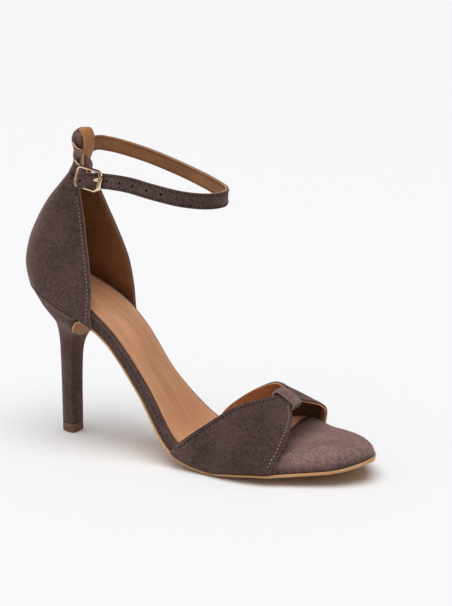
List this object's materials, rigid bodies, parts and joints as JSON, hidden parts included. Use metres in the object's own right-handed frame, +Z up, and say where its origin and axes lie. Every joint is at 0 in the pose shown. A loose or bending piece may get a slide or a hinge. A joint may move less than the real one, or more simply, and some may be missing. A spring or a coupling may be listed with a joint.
{
  "type": "high heel sandal",
  "caption": "Right high heel sandal in suede, with a pinched bow across the toes, a closed heel, a braided loop behind the ankle and a buckled ankle strap.",
  "frame": {"origin": "centre of the heel tip's underside, on the floor", "axes": "+X to the toe, +Y to the inner side of the foot, +Z up"},
  "size_m": [0.2188, 0.0765, 0.1816],
  "materials": {
    "taupe_suede": "brushed nap, matt",
    "sock_leather": "smooth, satin",
    "loop_leather": "suede strips with tan cut edges",
    "sole_leather": "smooth, satin edge",
    "tip_rubber": "matt",
    "pale_gold": "polished pale gold plating"
  },
  "bodies": {
    "root": {"outsole": "sole_leather", "insole": "taupe_suede", "sock": "sock_leather", "heel": "taupe_suede", "heel_tip": "tip_rubber", "counter": "taupe_suede", "heel_loop": "loop_leather", "vamp": "taupe_suede", "vamp_loop": "taupe_suede", "ankle_strap": "taupe_suede", "buckle_frame": "pale_gold", "buckle_prong": "pale_gold"}
  },
  "joints": []
}
